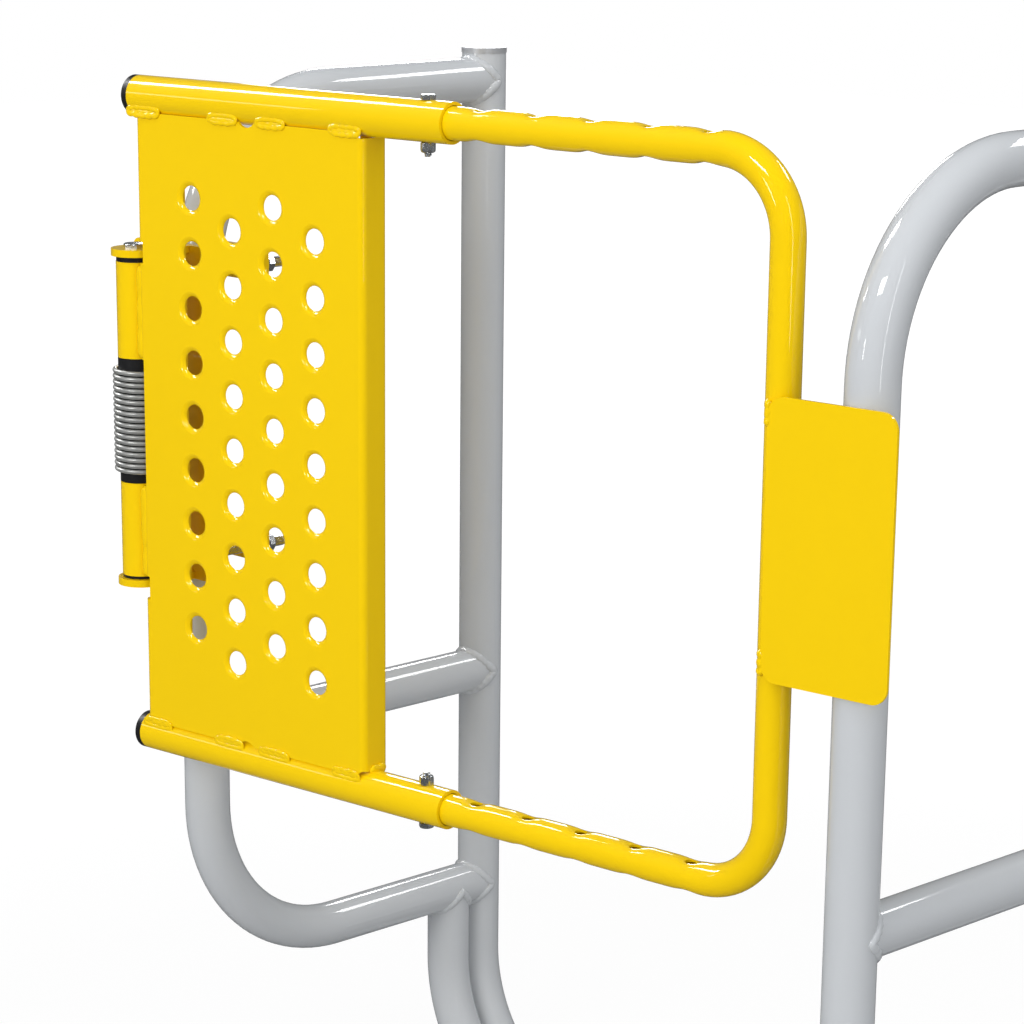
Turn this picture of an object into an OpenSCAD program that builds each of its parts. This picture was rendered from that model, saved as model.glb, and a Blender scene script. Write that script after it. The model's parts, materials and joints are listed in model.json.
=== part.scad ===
// Self-closing safety gate between two looped grab posts.
// Z is up, X runs along the opening from the left post to the right post, and Y runs away
// from the person who pulls the gate open. The origin is the centre of the left foot's flat face.

/* [Posts] */
// Outside diameter of the post tube
post_od = 41.3; // [30:0.1:60]
// Wall of the post tube
post_wall = 3; // [1.5:0.1:6]
// Distance between the two front posts, centre to centre
post_spacing = 764; // [640:1:1000]
// Distance from a front post back to its rear upright, centre to centre
loop_depth = 348; // [260:1:600]
// Centreline radius of the post tube's bends
post_bend_r = 152; // [90:1:160]
// Height of the lower return's centreline
return_low_h = 180; // [120:1:260]
// Height of the mid brace's centreline
brace_h = 400; // [340:1:500]
// Height of the upper return's centreline
return_top_h = 972; // [900:1:1200]
// Height of the rear uprights, without their caps
upright_h = 997; // [930:1:1300]
// Thickness of the cap on a rear upright
upright_cap_t = 5; // [2:0.5:10]
// Height at which the rear uprights start to bend inwards, as a share of the bend radius
flare_share = 0.72; // [0.5:0.01:0.75]

/* [Gate] */
// Outside diameter of the two sleeves and of the hinge barrels
sleeve_od = 33.4; // [28:0.1:45]
// Wall of the sleeves and barrels
sleeve_wall = 2.8; // [1.5:0.1:4]
// Outside diameter of the bent extension tube
ext_od = 26.7; // [18:0.1:27.4]
// Wall of the extension tube
ext_wall = 2.1; // [1:0.1:4]
// Height of the gate's middle above the foot
gate_mid_h = 700; // [640:1:760]
// Distance between the centrelines of the gate's two sleeves
gate_h = 562; // [480:1:620]
// Distance from the hinge axis to the free vertical tube's centreline
gate_reach = 694; // [600:1:700]
// Centreline radius of the extension tube's bends
ext_bend_r = 62; // [45:1:90]
// Distance from the hinge axis to the sleeves' right ends
sleeve_end = 368.5; // [330:0.5:420]
// Distance from the hinge axis to the sleeves' left ends
sleeve_start = 11; // [9:0.5:16]
// Thickness of the plug's head where it meets a sleeve's left end
cap_head = 6; // [3:0.1:7]
// Height of the dome on that head
cap_dome = 2.5; // [2:0.1:4]
// Distance from the sleeves' right ends back to the adjusting bolts
bolt_from_end = 26.5; // [16:0.5:40]
// Diameter of the adjusting bolts
adjust_bolt_d = 6.4; // [5:0.1:8]
// Distance between neighbouring adjusting holes
adjust_pitch = 55.7; // [30:0.1:70]
// Diameter of the adjusting holes
adjust_d = 10.4; // [9:0.1:11]

/* [Panel] */
// Thickness of the panel sheet
sheet_t = 2.5; // [1.5:0.1:4]
// Distance from the hinge axis to the panel's left face
panel_left = 17.5; // [17.2:0.1:19]
// Width of the panel
panel_w = 265.5; // [240:0.5:290]
// Depth of the panel's side flanges
flange_depth = 30.5; // [20:0.5:36]
// Width of the lips on the side flanges
lip_w = 28.5; // [14:0.5:40]
// Diameter of the panel's holes
hole_d = 21; // [8:0.5:26]
// Radius to which the sheet is dished round each of the panel's holes
dish_r = 6; // [4:0.5:7]
// Depth to which the sheet is dished round each hole
dish_depth = 2.9; // [2:0.1:3.5]
// Outside radius of the panel's folds
fold_r = 6; // [4:0.5:8]
// Distance between neighbouring columns of holes
hole_col_pitch = 48.1; // [40:0.1:52]
// Distance between neighbouring holes in one column
hole_row_pitch = 46.6; // [40:0.1:52]
// Distance from the panel's left face to the first column of holes
hole_inset = 65.1; // [52:0.1:75]
// Number of holes in one column
hole_rows = 9; // [3:1:10]
// Number of columns of holes
hole_cols = 4; // [1:1:4]
// Radius of the round reliefs in the panel's top and bottom edges
relief_r = 12; // [8:0.5:14]
// Depth of those reliefs below the edge
relief_depth = 4.5; // [2:0.1:6]
// Radius of the round reliefs at the ends of the panel's right fold
corner_relief_r = 5; // [3:0.1:7]
// Height of the strike plate
strike_h = 216; // [150:1:300]
// Width of the strike plate
strike_w = 114; // [110:1:140]
// Corner radius of the strike plate
strike_r = 14; // [4:1:30]
// Gap left between the strike plate and the right post at rest
stop_gap = 0.5; // [0.2:0.1:2]

/* [Hinge] */
// Distance from the hinge axis back to the left post's surface
hinge_standoff = 50; // [44:0.5:70]
// Height of the hinge's middle above the gate's middle
hinge_rise = 1.4; // [-8:0.1:8]
// Inside distance between the hinge bracket's two ears
ear_gap = 284.6; // [270:0.1:300]
// Width of an ear
ear_w = 41.3; // [34:0.1:44]
// Thickness of the hinge bracket's plate
bracket_t = 6.35; // [4:0.05:8]
// Width of the hinge bracket's back plate
bracket_w = 116; // [104:1:140]
// Diameter of the hinge pin
pin_d = 14.3; // [10:0.1:18]
// Length of one hinge barrel
barrel_l = 83.5; // [70:0.5:84]
// Thickness of the bushing flange between the upper ear and its barrel
upper_flange_t = 4.4; // [2:0.1:6]
// Thickness of the bushing flange between the lower ear and its barrel
lower_flange_t = 2.4; // [2:0.1:6]
// Diameter of the spring wire
wire_d = 4.2; // [2:0.1:4.4]
// Number of turns in the spring
spring_turns = 18; // [17:1:20]
// Length of the wound part of the spring
spring_l = 96; // [92:1:97]

/* [Clamp] */
// Distance between the two bolts of one clamp
clamp_pitch = 100; // [80:1:104]
// Distance from the hinge's middle up and down to the two clamps
clamp_offset = 125.5; // [60:0.5:126]
// Height of the two clamps' middle above the hinge's middle
clamp_rise = 5.6; // [-6:0.1:6]
// Thickness of a clamp bar
clamp_t = 6.35; // [5:0.05:12]
// Height of a clamp bar
clamp_h = 30; // [25:0.1:44]
// Length of a clamp bar
clamp_l = 120; // [112:1:140]
// Diameter of the clamp bolts
bolt_d = 9.5; // [7:0.1:10]
// Length of bolt thread that shows past its nut
bolt_proud = 15; // [4:1:25]

/* [Hidden] */
$fn = 64;
FIT = 0.1;            // gap where welded or bolted pieces meet on a curve
RUN = 0.06;           // radial running gap on the hinge pin
END_GAP = 0.4;        // gap between pieces that turn against each other end to end
EPS = 0.01;

post_r = post_od / 2;
foot_solid = 8;
flare_h = post_bend_r * flare_share;
foot_x = post_bend_r * (1 - sqrt(1 - pow(flare_share, 2)));
left_x = -foot_x;
right_x = left_x + post_spacing;
front_y = -loop_depth;
rail_y = -post_od - FIT;
cap_rim = 0.6;

sleeve_r = sleeve_od / 2;
sleeve_bore = sleeve_r - sleeve_wall;
ext_r = ext_od / 2;
front_face = 0.8 * sleeve_r;
tube_z = gate_h / 2;
bolt_x = sleeve_end - bolt_from_end;
insert_x = bolt_x - 2 * adjust_pitch;
arm_start = insert_x - 14;
adjust_count = 1 + floor((gate_reach - ext_bend_r - adjust_d / 2 - insert_x) / adjust_pitch);

hinge_y = front_y - post_r - hinge_standoff;
hinge_reach = hinge_standoff + post_r;
// The strike plate rests on the right post, which sets the closed gate's angle.
stop_y = post_r + stop_gap - ext_r - FIT;
rest_angle = acos(stop_y / norm([hinge_reach, post_spacing])) - atan2(post_spacing, hinge_reach);

panel_right = panel_left + panel_w;
panel_half = tube_z - sqrt(pow(sleeve_r, 2) - pow(front_face - sheet_t, 2)) - 0.3;
flange_half = tube_z - sleeve_r - 0.5;
hole_top_z = (hole_rows - 0.5) * hole_row_pitch / 2 + 2;
hole_r = hole_d / 2;
dish_tilt = 12;       // slope at which the dish starts on the panel's face
collar_depth = dish_depth + 0.6;
relief_x = [panel_left + 126, panel_left + 134];

ear_half = ear_gap / 2;
bushing_r = sleeve_bore - 0.05;
pin_r = pin_d / 2;
spring_r = sleeve_r + 0.8 + wire_d / 2;
spring_notch_x = spring_r + wire_d / 2 + 0.9;
ear_notch_x = ear_w / 2 + 3.8;
plate_back = hinge_standoff;
plate_front = hinge_standoff - bracket_t;
bolt_r = bolt_d / 2;
bolt_head_t = 6;
nut_t = 8;
nut_af = 14.3;
washer_t = 2;
adjust_bolt_r = adjust_bolt_d / 2;
adjust_head_t = 4.1;
adjust_nut_t = 8;
adjust_af = 11.1;
adjust_proud = 3.5;
pin_af = 18;
pin_head_t = 4;
pin_nut_t = 2.4;
pin_proud = 0.8;

yellow = [0.97, 0.80, 0.02];
grey = [0.74, 0.76, 0.78];
zinc = [0.72, 0.73, 0.74];
black = [0.05, 0.05, 0.05];

// ---------- shared shapes ----------

// Quarter or part bend of a round bar, from the origin along +Z, curving towards +X
module bend(radius, bar_r, angle) {
    translate([radius, 0, 0])
        rotate([90, 0, 0])
            rotate([0, 0, 180 - angle])
                rotate_extrude(angle = angle)
                    translate([radius, 0])
                        circle(r = bar_r);
}

// Hexagonal prism that stands on its base
module hexagon(across_flats, height) {
    cylinder(h = height, r = across_flats / sqrt(3), $fn = 6);
}

// Round washer with a hexagonal nut on it, bored for a bolt
module nut_on_washer(hole_r) {
    difference() {
        union() {
            cylinder(h = washer_t, r = nut_af * 0.72);
            translate([0, 0, washer_t])
                hexagon(nut_af, nut_t);
        }
        translate([0, 0, -1])
            cylinder(h = washer_t + nut_t + 2, r = hole_r);
    }
}

// Hexagon-headed bolt that hangs down from its head
module hex_bolt(shank_r, length, across_flats, head_t) {
    translate([0, 0, -length])
        cylinder(h = length + EPS, r = shank_r);
    hexagon(across_flats, head_t);
}

// Hexagonal nut that stands on its base, bored for a bolt
module plain_nut(across_flats, height, hole_r) {
    difference() {
        hexagon(across_flats, height);
        translate([0, 0, -1])
            cylinder(h = height + 2, r = hole_r);
    }
}

// Distances from the hinge's middle to the outer and the inner end of a barrel
function barrel_out(side) = ear_half - (side > 0 ? upper_flange_t : lower_flange_t) - END_GAP;
function barrel_in(side) = barrel_out(side) - barrel_l;

// Height of a clamp above the hinge's middle
function clamp_z(side) = clamp_rise + side * clamp_offset;

// Distance from the hinge axis to a clamp bar, which sits further back where the post's bend begins
function clamp_y(side) =
    let (bend_start = return_top_h - post_bend_r - gate_mid_h - hinge_rise)
    let (above = max(0, clamp_z(side) + clamp_h / 2 - bend_start))
    let (inner_r = post_bend_r - post_r)
    hinge_standoff + post_od + inner_r - sqrt(pow(inner_r, 2) - pow(above, 2)) + FIT;

// Places its children in the closed gate's own frame, with the hinge axis at the origin
module on_gate() {
    translate([left_x, hinge_y, gate_mid_h])
        rotate([0, 0, rest_angle])
            children();
}

// Places its children in the hinge bracket's frame, with the hinge axis at the origin
module on_bracket() {
    translate([left_x, hinge_y, gate_mid_h + hinge_rise])
        children();
}

// ---------- posts ----------

// Path of a front loop as a solid bar, in a plane across the opening, from one rear joint to the other
module loop_bar(bar_r) {
    span = return_top_h - return_low_h;
    for (top = [0, 1])
        translate([0, front_y, top ? return_top_h : return_low_h])
            mirror([0, 0, top]) {
                translate([0, 0, post_bend_r])
                    rotate([0, 0, 90])
                        rotate([180, 0, 0])
                            mirror([0, 1, 0])
                                bend(post_bend_r, bar_r, 90);
                translate([0, post_bend_r, 0])
                    rotate([-90, 0, 0])
                        cylinder(h = loop_depth - post_bend_r, r = bar_r);
            }
    translate([0, front_y, return_low_h + post_bend_r])
        cylinder(h = span - 2 * post_bend_r, r = bar_r);
}

module post_loop() {
    color(grey)
        difference() {
            loop_bar(post_r);
            loop_bar(post_r - post_wall);
            translate([0, 0, return_low_h - 2 * post_od])
                cylinder(h = return_top_h, r = post_r + FIT);
        }
}

module mid_brace() {
    color(grey)
        translate([0, front_y, brace_h])
            difference() {
                rotate([-90, 0, 0])
                    cylinder(h = loop_depth, r = post_r);
                translate([0, -1, 0])
                    rotate([-90, 0, 0])
                        cylinder(h = loop_depth + 2, r = post_r - post_wall);
                for (y = [0, loop_depth])
                    translate([0, y, -2 * post_r])
                        cylinder(h = 4 * post_r, r = post_r + FIT);
            }
}

// Upright bar that flares inwards at its foot, towards +X, and is cut off level at the base
module flared_bar(bar_r, top, base) {
    translate([0, 0, flare_h])
        cylinder(h = top - flare_h, r = bar_r);
    difference() {
        translate([0, 0, flare_h])
            mirror([0, 0, 1])
                bend(post_bend_r, bar_r, 90);
        translate([-2 * post_bend_r, -2 * post_od, base - 2 * post_bend_r])
            cube([4 * post_bend_r, 4 * post_od, 2 * post_bend_r]);
    }
}

module rear_upright() {
    color(grey)
        difference() {
            flared_bar(post_r, upright_h, 0);
            flared_bar(post_r - post_wall, upright_h + 1, foot_solid);
        }
}

module upright_cap() {
    color(zinc)
        translate([0, 0, upright_h])
            cylinder(h = upright_cap_t, r = post_r + cap_rim);
}

// Second rail in front of the rear upright, welded under the lower return
module lower_rail() {
    color(grey)
        difference() {
            translate([0, rail_y, 0])
                flared_bar(post_r, return_low_h, 0);
            translate([0, rail_y, 0])
                flared_bar(post_r - post_wall, return_low_h + 1, foot_solid);
            translate([0, front_y, return_low_h])
                rotate([-90, 0, 0])
                    cylinder(h = 2 * loop_depth, r = post_r + FIT);
        }
}

module left_side() {
    translate([left_x, 0, 0])
        children();
}

module right_side() {
    translate([right_x, 0, 0])
        mirror([1, 0, 0])
            children();
}

// ---------- hinge bracket and clamps ----------

module ear() {
    difference() {
        union() {
            cylinder(h = bracket_t, r = ear_w / 2);
            translate([-ear_w / 2, 0, 0])
                cube([ear_w, plate_back - 1, bracket_t]);
        }
        translate([0, 0, -1])
            cylinder(h = bracket_t + 2, r = pin_r + RUN);
    }
}

module hinge_bracket() {
    corner = 8;
    half = ear_half + bracket_t;
    color(yellow)
        on_bracket()
            difference() {
                union() {
                    translate([0, plate_back, 0])
                        rotate([90, 0, 0])
                            linear_extrude(bracket_t)
                                rounded_rect(bracket_w, 2 * half, corner);
                    translate([0, 0, ear_half])
                        ear();
                    translate([0, 0, -half])
                        ear();
                }
                for (x = [-1, 1], side = [-1, 1])
                    translate([x * clamp_pitch / 2, plate_back + 1, clamp_z(side)])
                        rotate([90, 0, 0])
                            cylinder(h = bracket_t + 2, r = bolt_r + 0.3);
            }
}

module rounded_rect(width, height, corner) {
    union() {
        square([width - 2 * corner, height], center = true);
        square([width, height - 2 * corner], center = true);
        for (x = [-1, 1], y = [-1, 1])
            translate([x * (width / 2 - corner), y * (height / 2 - corner)])
                circle(r = corner);
    }
}

module clamp_bar(side) {
    color(yellow)
        on_bracket()
            translate([0, clamp_y(side), clamp_z(side)])
                difference() {
                    translate([-clamp_l / 2, 0, -clamp_h / 2])
                        cube([clamp_l, clamp_t, clamp_h]);
                    for (x = [-1, 1])
                        translate([x * clamp_pitch / 2, -1, 0])
                            rotate([-90, 0, 0])
                                cylinder(h = clamp_t + 2, r = bolt_r + 0.3);
                }
}

module clamp_bolts(side) {
    shank = clamp_y(side) - plate_front + clamp_t + washer_t + nut_t + bolt_proud;
    color(zinc)
        on_bracket()
            for (x = [-1, 1])
                translate([x * clamp_pitch / 2, plate_front, clamp_z(side)])
                    rotate([90, 0, 0])
                        hex_bolt(bolt_r, shank, nut_af, bolt_head_t);
}

module clamp_nuts(side) {
    color(zinc)
        on_bracket()
            for (x = [-1, 1])
                translate([x * clamp_pitch / 2, clamp_y(side) + clamp_t, clamp_z(side)])
                    rotate([-90, 0, 0])
                        nut_on_washer(bolt_r + RUN);
}

// ---------- hinge pin and spring ----------

module hinge_pin() {
    half = ear_half + bracket_t;
    shank = 2 * half + pin_nut_t + pin_proud;
    color(zinc)
        on_bracket()
            translate([0, 0, half])
                hex_bolt(pin_r, shank, pin_af, pin_head_t);
}

module hinge_pin_nut() {
    color(zinc)
        on_bracket()
            translate([0, 0, -ear_half - bracket_t - pin_nut_t])
                plain_nut(pin_af, pin_nut_t, pin_r + RUN);
}

module spring_tube() {
    low = END_GAP - barrel_in(-1);
    length = barrel_in(1) - END_GAP - low;
    color(black)
        on_bracket()
            translate([0, 0, low])
                difference() {
                    cylinder(h = length, r = sleeve_r);
                    translate([0, 0, -1])
                        cylinder(h = length + 2, r = pin_r + RUN);
                }
}

// The wound spring stands as one ring to each turn
module torsion_spring() {
    pitch = (spring_l - wire_d) / (spring_turns - 1);
    color(zinc)
        on_bracket()
            for (i = [0 : spring_turns - 1])
                translate([0, 0, (i - (spring_turns - 1) / 2) * pitch])
                    rotate_extrude()
                        translate([spring_r, 0])
                            circle(d = wire_d, $fn = 24);
}

// ---------- gate ----------

module barrel(side) {
    color(yellow)
        on_gate()
            translate([0, 0, hinge_rise + (side > 0 ? barrel_in(side) : -barrel_out(side))])
                difference() {
                    cylinder(h = barrel_l, r = sleeve_r);
                    translate([0, 0, -1])
                        cylinder(h = barrel_l + 2, r = sleeve_bore);
                }
}

// Bushing that fills a barrel, with a flange that runs against the ear
module bushing(side) {
    flange_t = ear_half - END_GAP - barrel_out(side);
    color(black)
        on_gate()
            translate([0, 0, hinge_rise])
                mirror([0, 0, side > 0 ? 0 : 1])
                    translate([0, 0, barrel_in(side)])
                        difference() {
                            union() {
                                cylinder(h = barrel_l, r = bushing_r);
                                translate([0, 0, barrel_l])
                                    cylinder(h = flange_t, r = sleeve_r - 0.4);
                            }
                            translate([0, 0, -1])
                                cylinder(h = barrel_l + flange_t + 2, r = pin_r + RUN);
                        }
}

// Outline of the folded panel, seen from above, with its front face on Y = 0
module panel_section() {
    inside = 2 * sheet_t;
    difference() {
        translate([panel_w, flange_depth] / 2)
            rounded_rect(panel_w, flange_depth, fold_r);
        translate([panel_w, flange_depth] / 2)
            rounded_rect(panel_w - inside, flange_depth - inside, fold_r - sheet_t);
        translate([lip_w, inside])
            square([panel_w - 2 * lip_w, flange_depth]);
    }
}

// Places its children at every hole of the panel, with Z pointing into the hole
module at_holes() {
    for (column = [0 : hole_cols - 1], row = [0 : hole_rows - 1])
        translate([panel_left + hole_inset + column * hole_col_pitch, 0,
                hole_top_z - (row + (column % 2) / 2) * hole_row_pitch])
            rotate([-90, 0, 0])
                children();
}

// Room inside a hole: a dish that curves in from the panel's face, and a straight throat
module hole_room() {
    arc_z = dish_r * cos(dish_tilt);
    arc_x = hole_r + sqrt(pow(dish_r, 2) - pow(arc_z - dish_depth, 2));
    rotate_extrude()
        difference() {
            translate([0, -1])
                square([arc_x, dish_depth + 1.3]);
            translate([arc_x, arc_z])
                circle(r = dish_r);
        }
    translate([0, 0, -1])
        cylinder(h = collar_depth + 2, r = hole_r);
}

// Short collar behind a hole, where the sheet is dished in
module hole_collar() {
    translate([0, 0, sheet_t / 2])
        cylinder(h = collar_depth - sheet_t / 2, r = hole_r + sheet_t);
}

// Gap in the panel's left side, from the hinge axis to reach, between two heights
module side_notch(reach, low, high) {
    translate([0, -1, low])
        cube([reach, flange_depth + 2, high - low]);
}

// Gaps in the panel's left side for the spring and the two ears
module panel_notches() {
    ear_top = ear_half + bracket_t;
    side_notch(spring_notch_x, hinge_rise - barrel_in(-1) - 0.6, hinge_rise + barrel_in(1) + 0.6);
    side_notch(ear_notch_x, hinge_rise + ear_half - 4, hinge_rise + ear_top + 8);
    side_notch(ear_notch_x, hinge_rise - ear_top - 9, hinge_rise - ear_half + 5);
}

// Round bites out of the panel's top and bottom edges, in the face and across the right fold
module panel_reliefs() {
    for (top = [0, 1]) {
        side = 2 * top - 1;
        translate([relief_x[top], -1, side * (panel_half + relief_r - relief_depth)])
            rotate([-90, 0, 0])
                cylinder(h = sheet_t + 2, r = relief_r);
        translate([panel_right, 0, side * (panel_half + corner_relief_r - relief_depth)])
            rotate([-90, 0, 45])
                cylinder(h = 3 * fold_r, r = corner_relief_r, center = true);
    }
}

module panel() {
    color(yellow)
        on_gate()
            translate([0, -front_face, 0])
                difference() {
                    union() {
                        translate([panel_left, 0, -panel_half])
                            linear_extrude(2 * panel_half)
                                panel_section();
                        at_holes()
                            hole_collar();
                    }
                    for (side = [0, 1])
                        mirror([0, 0, side])
                            translate([panel_left - 1, sheet_t, flange_half])
                                cube([panel_w + 2, flange_depth, tube_z]);
                    at_holes()
                        hole_room();
                    panel_notches();
                    panel_reliefs();
                }
}

module gate_sleeve(side) {
    color(yellow)
        on_gate()
            translate([sleeve_start, 0, side * tube_z])
                difference() {
                    length = sleeve_end - sleeve_start;
                    rotate([0, 90, 0])
                        cylinder(h = length, r = sleeve_r);
                    translate([-1, 0, 0])
                        rotate([0, 90, 0])
                            cylinder(h = length + 2, r = sleeve_bore);
                    translate([bolt_x - sleeve_start, 0, -sleeve_r - 1])
                        cylinder(h = sleeve_od + 2, r = adjust_bolt_r + 0.3);
                }
}

// Plastic plug in a sleeve's left end, with a domed head as wide as the sleeve
module end_cap(side) {
    plug_l = 18;
    ball_r = (pow(sleeve_r, 2) + pow(cap_dome, 2)) / (2 * cap_dome);
    color(black)
        on_gate()
            translate([sleeve_start - cap_head, 0, side * tube_z])
                union() {
                    rotate([0, 90, 0])
                        cylinder(h = cap_head, r = sleeve_r);
                    rotate([0, 90, 0])
                        cylinder(h = cap_head + plug_l, r = sleeve_bore - 0.05);
                    intersection() {
                        translate([ball_r - cap_dome, 0, 0])
                            sphere(r = ball_r);
                        translate([-2 * cap_dome, -sleeve_od, -sleeve_od])
                            cube([2 * cap_dome, 2 * sleeve_od, 2 * sleeve_od]);
                    }
                }
}

// Path of the extension tube as a solid bar: two arms joined by the free vertical tube
module extension_bar(bar_r) {
    for (side = [0, 1])
        mirror([0, 0, side]) {
            translate([arm_start, 0, tube_z])
                rotate([0, 90, 0])
                    cylinder(h = gate_reach - ext_bend_r - arm_start, r = bar_r);
            translate([gate_reach, 0, tube_z - ext_bend_r])
                mirror([1, 0, 0])
                    bend(ext_bend_r, bar_r, 90);
        }
    translate([gate_reach, 0, ext_bend_r - tube_z])
        cylinder(h = gate_h - 2 * ext_bend_r, r = bar_r);
}

module extension_tube() {
    color(yellow)
        on_gate()
            difference() {
                extension_bar(ext_r);
                extension_bar(ext_r - ext_wall);
                for (i = [0 : adjust_count - 1], side = [-1, 1])
                    translate([insert_x + i * adjust_pitch, 0, side * tube_z - ext_r - 1])
                        cylinder(h = ext_od + 2, r = adjust_d / 2);
            }
}

module strike_plate() {
    color(yellow)
        on_gate()
            translate([gate_reach - 2 + strike_w / 2, -ext_r - FIT, 0])
                rotate([90, 0, 0])
                    linear_extrude(sheet_t)
                        rounded_rect(strike_w, strike_h, strike_r);
}

module adjust_bolt(side) {
    shank = sleeve_od + adjust_nut_t + adjust_proud;
    color(zinc)
        on_gate()
            mirror([0, 0, side > 0 ? 0 : 1])
                translate([bolt_x, 0, tube_z + sleeve_r])
                    hex_bolt(adjust_bolt_r, shank, adjust_af, adjust_head_t);
}

module adjust_nut(side) {
    color(zinc)
        on_gate()
            mirror([0, 0, side > 0 ? 0 : 1])
                translate([bolt_x, 0, tube_z - sleeve_r])
                    rotate([180, 0, 0])
                        plain_nut(adjust_af, adjust_nut_t, adjust_bolt_r + RUN);
}

// ---------- nodes ----------

left_side() post_loop();  // left_post_loop
left_side() mid_brace();  // left_mid_brace
left_side() rear_upright();  // left_rear_upright
left_side() upright_cap();  // left_upright_cap
left_side() lower_rail();  // left_lower_rail
right_side() post_loop();  // right_post_loop
right_side() mid_brace();  // right_mid_brace
right_side() rear_upright();  // right_rear_upright
right_side() upright_cap();  // right_upright_cap
right_side() lower_rail();  // right_lower_rail
hinge_bracket();
clamp_bar(1);  // upper_clamp_bar
clamp_bar(-1);  // lower_clamp_bar
clamp_bolts(1);  // upper_clamp_bolts
clamp_bolts(-1);  // lower_clamp_bolts
clamp_nuts(1);  // upper_clamp_nuts
clamp_nuts(-1);  // lower_clamp_nuts
hinge_pin();
hinge_pin_nut();
spring_tube();
torsion_spring();
barrel(1);  // upper_barrel
barrel(-1);  // lower_barrel
bushing(1);  // upper_bushing
bushing(-1);  // lower_bushing
panel();
gate_sleeve(1);  // top_sleeve
gate_sleeve(-1);  // bottom_sleeve
end_cap(1);  // top_end_cap
end_cap(-1);  // bottom_end_cap
extension_tube();
strike_plate();
adjust_bolt(1);  // top_adjust_bolt
adjust_bolt(-1);  // bottom_adjust_bolt
adjust_nut(1);  // top_adjust_nut
adjust_nut(-1);  // bottom_adjust_nut
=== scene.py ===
import json
import math
import bpy
import numpy as np
from mathutils import Matrix, Vector


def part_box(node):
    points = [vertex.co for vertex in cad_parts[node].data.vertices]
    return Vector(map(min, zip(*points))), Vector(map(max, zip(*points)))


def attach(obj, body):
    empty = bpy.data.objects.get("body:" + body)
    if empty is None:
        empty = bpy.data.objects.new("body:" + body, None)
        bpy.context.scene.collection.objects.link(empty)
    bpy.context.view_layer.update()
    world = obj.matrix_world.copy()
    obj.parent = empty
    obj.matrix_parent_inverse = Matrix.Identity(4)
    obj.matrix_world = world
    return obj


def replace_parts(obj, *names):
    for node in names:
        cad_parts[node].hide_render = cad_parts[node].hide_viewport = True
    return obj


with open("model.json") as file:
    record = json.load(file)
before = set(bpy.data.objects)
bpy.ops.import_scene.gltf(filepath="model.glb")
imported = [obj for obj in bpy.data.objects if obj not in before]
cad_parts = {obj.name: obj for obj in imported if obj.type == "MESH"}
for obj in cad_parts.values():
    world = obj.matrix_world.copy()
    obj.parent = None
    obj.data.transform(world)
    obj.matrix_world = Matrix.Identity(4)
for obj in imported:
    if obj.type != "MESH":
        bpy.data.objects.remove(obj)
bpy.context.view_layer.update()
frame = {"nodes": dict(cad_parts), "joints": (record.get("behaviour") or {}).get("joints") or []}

# ---------------------------------------------------------------------------
# Camera: a long lens that stands to the right of the gate and above it, looks
# a little down on it, and is shifted so that the gate fills the frame.
# ---------------------------------------------------------------------------
CAMERA_AT = Vector((2.1861, -2.1604, 1.2237))
CAMERA_YAW, CAMERA_PITCH, CAMERA_ROLL = (
    math.radians(a) for a in (45.9082, 15.7284, 0.4142))
LENS_MM, SHIFT_X, SHIFT_Y, FARTHEST = 114.3305, 0.03, 0.2, 30
ahead = Vector((-math.sin(CAMERA_YAW) * math.cos(CAMERA_PITCH),
                math.cos(CAMERA_YAW) * math.cos(CAMERA_PITCH), -math.sin(CAMERA_PITCH)))
level = Vector((math.cos(CAMERA_YAW), math.sin(CAMERA_YAW), 0))
upward = level.cross(ahead)
right = math.cos(CAMERA_ROLL) * level + math.sin(CAMERA_ROLL) * upward
upward = right.cross(ahead)
camera = bpy.data.objects.new("camera", bpy.data.cameras.new("camera"))
camera.data.lens = LENS_MM
camera.data.shift_x, camera.data.shift_y = SHIFT_X, SHIFT_Y
camera.data.clip_end = FARTHEST
axes = Matrix((right, upward, -ahead)).transposed().to_4x4()
camera.matrix_world = Matrix.Translation(CAMERA_AT) @ axes
bpy.context.collection.objects.link(camera)
bpy.context.scene.camera = camera

# ---------------------------------------------------------------------------
# Studio: a pale floor and room, three broad soft lamps, and bare strips
# that show only in the gloss of the paint.
# ---------------------------------------------------------------------------


class Socket:
    """A shader value that can be added to and multiplied, from either side."""

    def __init__(self, tree, out):
        self.tree, self.out = tree, out

    def _math(self, operation, a, b):
        return self.tree.add("ShaderNodeMath", {"operation": operation}, {0: a, 1: b})

    def __add__(self, b): return self._math("ADD", self, b)
    def __radd__(self, b): return self._math("ADD", b, self)
    def __mul__(self, b): return self._math("MULTIPLY", self, b)
    def __rmul__(self, b): return self._math("MULTIPLY", b, self)


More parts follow.
